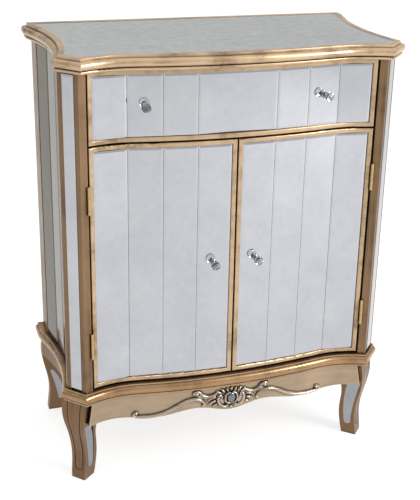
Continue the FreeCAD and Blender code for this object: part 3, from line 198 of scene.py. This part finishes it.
def gilt(name, light, deep, along="x", metal=0.55, rough=0.36, hollow_shade_and_patina=(0.035, 0.022, 0.012), reach=7 * MM,
         open_at=0.86):
    """Antique gold paint: brushed, with brown patina and painted shade in its hollows and a painted
    highlight on its edges.

    open_at is how open a face is, from 0 to 1, where no painted shade or patina is left on it.
    """
    shader = Shader(name)
    brushed = shader.noise(1.0, 4.0, 0.6, BRUSHING[along])
    cloudy = shader.noise(9.0, 5.0, 0.62)
    blend = shader.mix(0.62, brushed, cloudy)
    paint = shader.ramp(blend, [(0.36, deep), (0.50, light), (0.68, scaled(light, 1.25))])
    # Painted highlight: sharp outer edges are lightened toward pale champagne, standing in for the sheen
    # the lights put along them.
    painted_edge_highlight = shader.ramp(shader.edges(2.5 * MM), [(0.45, grey(0.55)), (0.85, BLACK)])
    paint = shader.mix(painted_edge_highlight, paint, scaled(light, 1.5, 0.06))
    # Painted shade and brown patina together: hollows and corners are darkened toward this dark colour by
    # ambient occlusion, near black on the carving.
    hollow = shader.ramp(shader.hollows(reach), [(open_at - 0.42, BLACK), (open_at, WHITE)])
    shader.link(shader.mix(hollow, hollow_shade_and_patina, paint), shader.bsdf.inputs["Base Color"])
    shader.link(shader.ramp(cloudy, [(0.3, grey(rough - 0.08)), (0.7, grey(rough + 0.12))]),
                shader.bsdf.inputs["Roughness"])
    shader.set(Metallic=metal)
    shader.bump(shader.mix(0.5, brushed, shader.noise(420.0, 2.0)), 0.18, 0.2 * MM)
    return shader.material


def silvered(name, tint, rough, cloud, cloud_tint, wave=0.02):
    """Mirror glass: silvering with a faint cloud and a slight wave."""
    shader = Shader(name)
    patches = shader.noise(9.0, 5.0, 0.62)
    fine = shader.noise(60.0, 4.0, 0.6)
    mottled = shader.ramp(shader.mix(0.35, patches, fine), [(0.5 - cloud, cloud_tint), (0.5 + cloud, tint)])
    shader.link(mottled, shader.bsdf.inputs["Base Color"])
    shader.link(shader.ramp(fine, [(0.35, grey(rough)), (0.75, grey(rough * 1.6))]),
                shader.bsdf.inputs["Roughness"])
    shader.set(Metallic=1.0)
    shader.bump(shader.noise(5.0, 1.0), wave, 1 * MM)
    return shader.material


def stained_wood(name, light, dark):
    """Plain stained board with a fine grain."""
    shader = Shader(name)
    grain = shader.noise(1.0, 5.0, 0.65, (7, 90, 90))
    shader.link(shader.ramp(grain, [(0.35, dark), (0.65, light)]), shader.bsdf.inputs["Base Color"])
    shader.set(Roughness=0.55)
    shader.bump(grain, 0.2, 0.3 * MM)
    return shader.material


def metal(name, colour, rough):
    """Bare or plated metal with fine scratches."""
    shader = Shader(name)
    scratch = shader.noise(9.0, 3.0, 0.5, (40, 40, 40))
    dull = scaled(colour, 0.75)
    shader.link(shader.ramp(scratch, [(0.35, dull), (0.65, colour)]), shader.bsdf.inputs["Base Color"])
    shader.link(shader.ramp(scratch, [(0.3, grey(rough)), (0.7, grey(rough * 1.5))]),
                shader.bsdf.inputs["Roughness"])
    shader.set(Metallic=1.0)
    return shader.material


def crystal():
    """Clear cut glass."""
    shader = Shader("crystal")
    faint = shader.noise(30.0, 2.0)
    shader.link(shader.ramp(faint, [(0.3, (0.80, 0.81, 0.84)), (0.7, (0.90, 0.91, 0.93))]),
                shader.bsdf.inputs["Base Color"])
    shader.set(Roughness=0.0, IOR=1.52)
    shader.bsdf.inputs["Transmission Weight"].default_value = 1.0
    return shader.material


def plastic():
    """Black plastic with a fine grain."""
    shader = Shader("black_plastic")
    grain = shader.noise(300.0, 2.0)
    shader.link(shader.ramp(grain, [(0.3, grey(0.012)), (0.7, grey(0.03))]),
                shader.bsdf.inputs["Base Color"])
    shader.set(Roughness=0.5)
    shader.bump(grain, 0.2, 0.1 * MM)
    return shader.material


# The gilt parts get different tones as painted light and shade: the top moulding and the frames are painted
# lighter, the posts and legs darker, to match how brightly each is lit.
MATERIALS = {
    "top_moulding": gilt("gilt_top_moulding", (0.50, 0.36, 0.225), (0.17, 0.095, 0.048), metal=0.75,
                         rough=0.30),
    "moulding": gilt("gilt_moulding", (0.33, 0.20, 0.102), (0.14, 0.075, 0.033), metal=0.75, rough=0.27),
    "post": gilt("gilt_post", (0.185, 0.11, 0.055), (0.095, 0.052, 0.023), along="z", metal=0.6),
    "frame": gilt("gilt_frame", (0.43, 0.305, 0.185), (0.22, 0.14, 0.075), along="both", metal=0.65,
                  rough=0.30),
    "apron": gilt("gilt_apron", (0.33, 0.245, 0.165), (0.26, 0.185, 0.12), metal=0.65, rough=0.38,
                  hollow_shade_and_patina=(0.025, 0.016, 0.010), reach=5 * MM, open_at=0.92),
    "leg": gilt("gilt_leg", (0.18, 0.098, 0.044), (0.095, 0.05, 0.022), along="z", metal=0.6),
    "ornament": gilt("gilt_ornament", (0.42, 0.355, 0.285), (0.22, 0.175, 0.13), metal=0.9, rough=0.22,
                     hollow_shade_and_patina=(0.004, 0.003, 0.002), reach=4.5 * MM, open_at=0.95),
    "stone": silvered("dark_stone", (0.24, 0.25, 0.27), 0.10, 0.25, (0.12, 0.125, 0.14)),
    "mirror": silvered("mirror", (0.50, 0.505, 0.53), 0.025, 0.25, (0.40, 0.405, 0.43)),
    "top": silvered("aged_mirror_top", (0.97, 0.99, 0.99), 0.16, 0.2, (0.83, 0.86, 0.855), wave=0.01),
    "leg_glass": silvered("aged_mirror_leg", (0.36, 0.37, 0.40), 0.06, 0.2, (0.25, 0.26, 0.28), wave=0.04),
    "side": silvered("aged_mirror_side", (0.115, 0.10, 0.075), 0.08, 0.2, (0.08, 0.068, 0.05), wave=0.04),
    "wood": stained_wood("stained_board", (0.20, 0.13, 0.08), (0.11, 0.07, 0.04)),
    "steel": metal("steel", (0.55, 0.55, 0.56), 0.28),
    "brass": metal("brass", (0.55, 0.38, 0.18), 0.3),
    "chrome": metal("chrome", (0.25, 0.25, 0.27), 0.16),
    "crystal": crystal(),
    "plastic": plastic(),
}

FINISH = {
    "top_moulding": ["top_board"],
    "moulding": ["base_moulding"],
    "post": ["post_front_right", "post_front_left", "stile_rear_right", "stile_rear_left"],
    "frame": ["drawer_frame", "door_right_frame", "door_left_frame"],
    "apron": ["apron_front"],
    "leg": ["apron_right", "apron_left", "leg_front_right", "leg_front_left", "leg_back_right",
            "leg_back_left"],
    "ornament": ["ornament"],
    "stone": ["ornament_cabochon"],
    "mirror": ["post_mirrors", "drawer_mirrors", "door_right_mirrors", "door_left_mirrors"],
    "leg_glass": ["leg_mirrors"],
    "top": ["top_mirror"],
    "side": ["side_mirrors_right", "side_mirrors_left"],
    "brass": ["hinge_leaves_fixed", "hinge_pins", "hinge_screws_fixed", "door_right_hinge_leaves",
              "door_left_hinge_leaves"],
    "steel": ["shelf_pins", "drawer_knob_screws", "door_right_screws", "door_left_screws",
              "door_right_strike_plate", "door_left_strike_plate"],
    "chrome": ["drawer_knob_bases", "door_right_knob_base", "door_left_knob_base"],
    "crystal": ["drawer_knobs", "door_right_knob", "door_left_knob"],
    "plastic": ["door_catches"],
}


def dress(piece, finish):
    """Give a piece one of the materials above, in place of what it has."""
    piece.data.materials.clear()
    piece.data.materials.append(MATERIALS[finish])


finish_of = {name: finish for finish, names in FINISH.items() for name in names}
for name, node in nodes.items():
    dress(node, finish_of.get(name, "wood"))


# ---------------------------------------------------------------- building new pieces

def place_on_body(shape, name, body, finish, smooth=True):
    """Turn a bmesh into a piece that rides on a body."""
    mesh = bpy.data.meshes.new(name)
    bmesh.ops.recalc_face_normals(shape, faces=shape.faces)
    shape.to_mesh(mesh)
    shape.free()
    for face in mesh.polygons:
        face.use_smooth = smooth
    piece = bpy.data.objects.new(name, mesh)
    bpy.context.scene.collection.objects.link(piece)
    dress(piece, finish)
    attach(piece, body)
    return piece


def applied(piece):
    """Replace a piece's mesh by what its modifiers make of it."""
    graph = bpy.context.evaluated_depsgraph_get()
    graph.update()
    mesh = bpy.data.meshes.new_from_object(piece.evaluated_get(graph))
    piece.modifiers.clear()
    piece.data = mesh


def fused(piece, voxel, smoothing):
    """Weld overlapping solids into one skin and soften it."""
    remesh = piece.modifiers.new("weld", "REMESH")
    remesh.mode = "VOXEL"
    remesh.voxel_size = voxel
    remesh.use_smooth_shade = True
    soften = piece.modifiers.new("soften", "SMOOTH")
    soften.factor = 0.5
    soften.iterations = smoothing
    applied(piece)


def smooth_path(points, steps=7):
    """A Catmull-Rom curve through the points, as (position, share of the way along)."""
    spots = [Vector(p) for p in points]
    spots = [spots[0] * 2 - spots[1]] + spots + [spots[-1] * 2 - spots[-2]]
    path = []
    pieces = len(spots) - 3
    for index in range(pieces):
        a, b, c, d = spots[index:index + 4]
        for step in range(steps):
            t = step / steps
            position = 0.5 * ((2 * b) + (c - a) * t + (2 * a - 5 * b + 4 * c - d) * t ** 2
                              + (3 * b - a - 3 * c + d) * t ** 3)
            path.append((position, (index + t) / pieces))
    path.append((spots[-2], 1.0))
    return path


def blend_values(values, share):
    """The value this far along a short list of evenly spaced values."""
    spot = share * (len(values) - 1)
    index = min(int(spot), len(values) - 2)
    ease = spot - index
    ease = ease * ease * (3 - 2 * ease)
    return values[index] * (1 - ease) + values[index + 1] * ease


RING = 12
TAPER = (0.25, 0.68, 0.92)      # how full the first and last rings of a stroke are
SINK = 1.2                      # how far a stroke is let into the surface, in millimetres


def stroke(shape, surface, points, widths, heights):
    """A rounded carved line on a surface; points are (across, up) in millimetres."""
    path = smooth_path([Vector(p) for p in points])
    total = len(path) - 1
    rings = []
    for index, (spot, share) in enumerate(path):
        before = path[max(index - 1, 0)][0]
        after = path[min(index + 1, total)][0]
        along = (after - before).normalized()
        side = Vector((-along.y, along.x))
        wide = blend_values(widths, share) / 2
        high = blend_values(heights, share)
        end = min(index, total - index)
        if end < len(TAPER):
            wide *= TAPER[end]
            high *= TAPER[end]
        ring = []
        for corner in range(RING):
            angle = 2 * math.pi * corner / RING
            flat = spot + side * (wide * math.cos(angle))
            lift = math.sin(angle)
            out = high * lift if lift > 0 else SINK * lift
            ring.append(shape.verts.new(surface(flat.x, flat.y, out)))
        rings.append(ring)
    for first, second in zip(rings, rings[1:]):
        for corner in range(RING):
            following = (corner + 1) % RING
            shape.faces.new((first[corner], first[following], second[following], second[corner]))
    shape.faces.new(rings[0])
    shape.faces.new(rings[-1])


def bead(shape, surface, x, z, radius, height):
    """A low round button on a surface."""
    rows = 5
    rings = []
    for row in range(rows):
        angle = row / rows * math.pi / 2
        rings.append([
            shape.verts.new(surface(x + radius * math.cos(angle) * math.cos(turn),
                                    z + radius * math.cos(angle) * math.sin(turn),
                                    height * math.sin(angle)))
            for turn in (2 * math.pi * corner / RING for corner in range(RING))])
    top = shape.verts.new(surface(x, z, height))
    bottom = shape.verts.new(surface(x, z, -1))
    for first, second in zip(rings, rings[1:]):
        for corner in range(RING):
            following = (corner + 1) % RING
            shape.faces.new((first[corner], first[following], second[following], second[corner]))
    for corner in range(RING):
        following = (corner + 1) % RING
        shape.faces.new((rings[-1][corner], rings[-1][following], top))
        shape.faces.new((rings[0][following], rings[0][corner], bottom))


def tree_of(node):
    """A search tree of a CAD node's faces."""
    return BVHTree.FromObject(nodes[node], bpy.context.evaluated_depsgraph_get())


# ---------------------------------------------------------------- carved scroll on the apron

# The right half of the carving, in millimetres: each stroke's points (across, up), then its widths
# and its heights along the way. The left half is its mirror image.
STROKES = [
    # the long stem, from the ball at its end to the hook beside the shell
    ([(200.5, 150), (205.5, 148.5), (206.5, 143.5), (199, 140), (185, 138.8), (168, 139), (148, 142.5),
      (128, 150.5), (109, 161), (94, 167.5), (80, 169.5), (69, 167), (60.5, 160.5), (57, 154), (60, 151)],
     (4.0, 6.5, 8.4, 9.0, 9.0, 8.6, 7.0, 4.0), (4.0, 5.4, 6.2, 6.4, 6.4, 6.2, 5.6, 3.6)),
    # the short stem, from its curl to the shell
    ([(76, 177.5), (81, 180), (79.5, 185.5), (73, 186.5), (67, 182.5), (62, 176.5), (54, 173), (45, 172.5),
      (36, 175.5), (29, 180.5)],
     (3.6, 6.4, 8.0, 7.6, 7.2, 5.0), (3.4, 5.8, 6.4, 6.2, 6.0, 4.6)),
    # fingers of the shell
    ([(20, 174.5), (26.5, 178.5), (33, 184.5)], (7.0, 6.8, 3.6), (5.4, 6.4, 3.4)),
    ([(13, 177), (18, 182), (23, 187.4)], (6.4, 6.2, 3.4), (5.6, 6.6, 3.4)),
    ([(6.5, 178.5), (9, 183.5), (12, 188)], (5.6, 5.6, 3.2), (5.6, 6.6, 3.4)),
    # ring round the stone, and the C-scroll outside it
    ([(1, 176.6), (7, 175.6), (11.8, 171), (13.0, 164), (11.8, 157), (7, 152.4), (1, 151.4)],
     (5.4, 6.2, 6.2, 6.2, 5.4), (7.0, 7.4, 7.4, 7.2, 6.8)),
    ([(19, 170.5), (25.5, 170.5), (28.5, 163), (26, 153), (19.5, 146), (11.5, 143), (7, 146.5)],
     (4.4, 7.6, 8.2, 7.4, 4.0), (4.4, 6.4, 6.8, 6.2, 4.0)),
    # leaves between the scrolls and the hook
    ([(32, 168.5), (40, 168), (47, 165), (51.5, 160)], (6.6, 7.0, 6.0, 2.8), (4.6, 5.4, 4.6, 2.4)),
    ([(33, 160), (40, 158), (46, 154.5), (50, 149.5)], (6.6, 7.0, 5.6, 2.6), (4.6, 5.4, 4.4, 2.4)),
    ([(30, 151.5), (36, 149.5), (41.5, 145.5)], (6.0, 6.2, 2.8), (4.4, 5.0, 2.6)),
]

# Balls at the ends and in the curls: across, up, radius, height.
BEADS = [(201, 148.6, 4.6, 6.6), (75, 181, 4.8, 7.0), (60.5, 152.5, 3.6, 5.6), (20.5, 167, 3.4, 6.0),
         (9, 146.8, 3.2, 6.0)]

# Low ground that ties the strokes together.
GROUND = [
    ([(26, 176), (44, 169.5), (62, 172.5), (74, 176)], (7, 9, 11, 6), (1.6, 2.0, 2.0, 1.6)),
    ([(22, 172), (24, 160), (16, 148)], (12, 15, 12), (2.0, 2.2, 1.8)),
]


FACE_DROP = 12 * MM             # how far under the apron's top edge its face is measured
WELD_VOXEL = 0.65 * MM


def build_ornament():
    """Two S-scrolls that meet in a shell round an oval stone, carved in the solid."""
    tree = tree_of("apron_front")
    low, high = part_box("apron_front")
    level = high.z - FACE_DROP
    known = {}

    def face(x):
        """The apron's face at this distance from the middle: a point and its normal."""
        key = round(x, 3)
        if key not in known:
            spot, normal, _, _ = tree.ray_cast(Vector((x * MM, low.y - 0.1, level)), Vector((0, 1, 0)))
            known[key] = (spot, Vector((normal.x, normal.y, 0)).normalized())
        return known[key]

    def surface(x, z, out):
        """A point this far out of the apron's face."""
        spot, normal = face(x)
        if normal.y > 0:
            normal = -normal
        return Vector((spot.x, spot.y, z * MM)) + normal * (out * MM)

    shape = bmesh.new()
    for side in (1, -1):
        for points, widths, heights in STROKES:
            stroke(shape, surface, [(side * x, z) for x, z in points], widths, heights)
        for x, z, radius, height in BEADS:
            bead(shape, surface, side * x, z, radius, height)
        for points, widths, heights in GROUND:
            stroke(shape, surface, [(side * x, z) for x, z in points], widths, heights)
    # on the middle line: the ball under the stone and the tallest finger of the shell
    bead(shape, surface, 0, 142, 3.6, 6.0)
    stroke(shape, surface, [(0, 181), (0, 185), (0, 189.3)], (6.0, 6.0, 3.4), (5.6, 6.2, 3.6))
    piece = place_on_body(shape, "scroll_carving", "carcass", "ornament")
    fused(piece, WELD_VOXEL, 2)
    dress(piece, "ornament")
    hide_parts("ornament")


# ---------------------------------------------------------------- cut crystal knobs

# Each ring of a cut knob, from its table to its foot: how far along the axis and how wide, as shares
# of the crystal's radius. Every second ring is turned by half a facet.
CRYSTAL_RINGS = [(0.87, 0.20), (0.74, 0.58), (0.30, 0.97), (-0.24, 0.97), (-0.64, 0.78), (-0.87, 0.54)]
FACETS = 10
CLEAR_OF_BASE = 1.3             # in radii: how far above the knob the glass behind is measured


def cut_crystal(shape, middle, axis, radius):
    """One cut crystal: rings of flat triangles between a table and a foot."""
    side = axis.cross(Vector((0, 0, 1))).normalized()
    rise = side.cross(axis)
    rings = []
    for index, (along, wide) in enumerate(CRYSTAL_RINGS):
        ring = []
        for corner in range(FACETS):
            turn = 2 * math.pi * (corner + 0.5 * (index % 2)) / FACETS
            out = side * math.cos(turn) + rise * math.sin(turn)
            ring.append(shape.verts.new(middle + axis * (along * radius) + out * (wide * radius)))
        rings.append(ring)
    for index, (first, second) in enumerate(zip(rings, rings[1:])):
        for corner in range(FACETS):
            following = (corner + 1) % FACETS
            if index % 2 == 0:
                shape.faces.new((first[corner], second[corner], first[following]))
                shape.faces.new((first[following], second[corner], second[following]))
            else:
                shape.faces.new((first[corner], second[corner], second[following]))
                shape.faces.new((first[corner], second[following], first[following]))
    shape.faces.new(rings[0])
    shape.faces.new(rings[-1])


def build_knob(name, node, mirrors, body):
    """Cut crystals in place of a node's turned ones, each square to the mirror behind it."""
    spots = [vertex.co for vertex in nodes[node].data.vertices]
    glass = tree_of(mirrors)
    shape = bmesh.new()
    for side in (1, -1):
        own = [spot for spot in spots if spot.x * side > 0]
        if not own:
            continue
        low = Vector([min(spot[axis] for spot in own) for axis in range(3)])
        high = Vector([max(spot[axis] for spot in own) for axis in range(3)])
        middle = (low + high) / 2
        radius = (high.z - low.z) / 2
        above = middle + Vector((0, 0, CLEAR_OF_BASE * radius))
        normal = glass.ray_cast(above, Vector((0, 1, 0)))[1]
        axis = normal if normal.y < 0 else -normal
        cut_crystal(shape, middle, axis, radius)
    piece = place_on_body(shape, name, body, "crystal", smooth=False)
    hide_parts(node)


def build_knobs():
    """Cut crystals for the drawer and for both doors."""
    build_knob("drawer_crystals", "drawer_knobs", "drawer_mirrors", "drawer")
    for side in ("right", "left"):
        door = f"door_{side}"
        build_knob(f"{door}_crystal", f"{door}_knob", f"{door}_mirrors", door)


# ---------------------------------------------------------------- floor and studio

FLOOR_HALF = 14
FLOOR_GLOW = 0.74

# The room's grey by direction: the direction's height, 0 level and 1 straight up, and the tone there.
ROOM_TONES = [(0.0, 0.85), (0.07, 0.75), (0.15, 0.38), (0.34, 0.62), (0.55, 0.98), (0.80, 1.0)]
ROOM_STRENGTH = 0.95

# Each light's place, the point it faces, its width and height, and its power in watts.
LIGHTS = {
    "key": ((2.6, -2.4, 2.0), (0, 0, 0.45), 1.4, 1.8, 135),
    "fill": ((-2.8, -2.2, 2.0), (0, 0, 0.4), 1.2, 1.6, 14),
    "overhead": ((0, 0.2, 3.4), (0, 0, 0.9), 2.4, 1.6, 45),
}
REFLECTED_LIGHTS = {"key"}      # the others light the cabinet but aren't seen in its glass


def add_floor():
    """A plain pale floor that glows a little, so that shadows on it stay faint."""
    mesh = bpy.data.meshes.new("floor")
    shape = bmesh.new()
    bmesh.ops.create_grid(shape, x_segments=4, y_segments=4, size=FLOOR_HALF)
    shape.to_mesh(mesh)
    shape.free()
    piece = bpy.data.objects.new("floor", mesh)
    bpy.context.scene.collection.objects.link(piece)
    shader = Shader("floor")
    soft = shader.noise(0.6, 2.0)
    shader.link(shader.ramp(soft, [(0.3, grey(0.29)), (0.7, grey(0.31))]),
                shader.bsdf.inputs["Base Color"])
    shader.set(Roughness=0.9, Emission_Color=(1, 1, 1, 1), Emission_Strength=FLOOR_GLOW)
    piece.data.materials.append(shader.material)


def add_studio():
    """A soft grey room with the main light on the right.

    The room is palest overhead and at the floor line, and darkest in a band just above it.
    """
    scene = bpy.context.scene
    scene.view_settings.view_transform = "Standard"
    world = bpy.data.worlds.new("studio")
    scene.world = world
    world.use_nodes = True
    tree = world.node_tree
    background = tree.nodes["Background"]
    place = tree.nodes.new("ShaderNodeTexCoord")
    axes = tree.nodes.new("ShaderNodeSeparateXYZ")
    sky = tree.nodes.new("ShaderNodeValToRGB")
    tree.links.new(place.outputs["Generated"], axes.inputs["Vector"])
    tree.links.new(axes.outputs["Z"], sky.inputs["Fac"])
    tree.links.new(sky.outputs["Color"], background.inputs["Color"])
    while len(sky.color_ramp.elements) < len(ROOM_TONES):
        sky.color_ramp.elements.new(0.5)
    for element, (height, tone) in zip(sky.color_ramp.elements, ROOM_TONES):
        element.position = height
        element.color = (*grey(tone), 1)
    background.inputs["Strength"].default_value = ROOM_STRENGTH
    for name, (place, target, wide, tall, power) in LIGHTS.items():
        light = add_light(name, place, target, wide, tall, power)
        light.visible_glossy = name in REFLECTED_LIGHTS


build_ornament()
build_knobs()
add_camera()
add_studio()
add_floor()
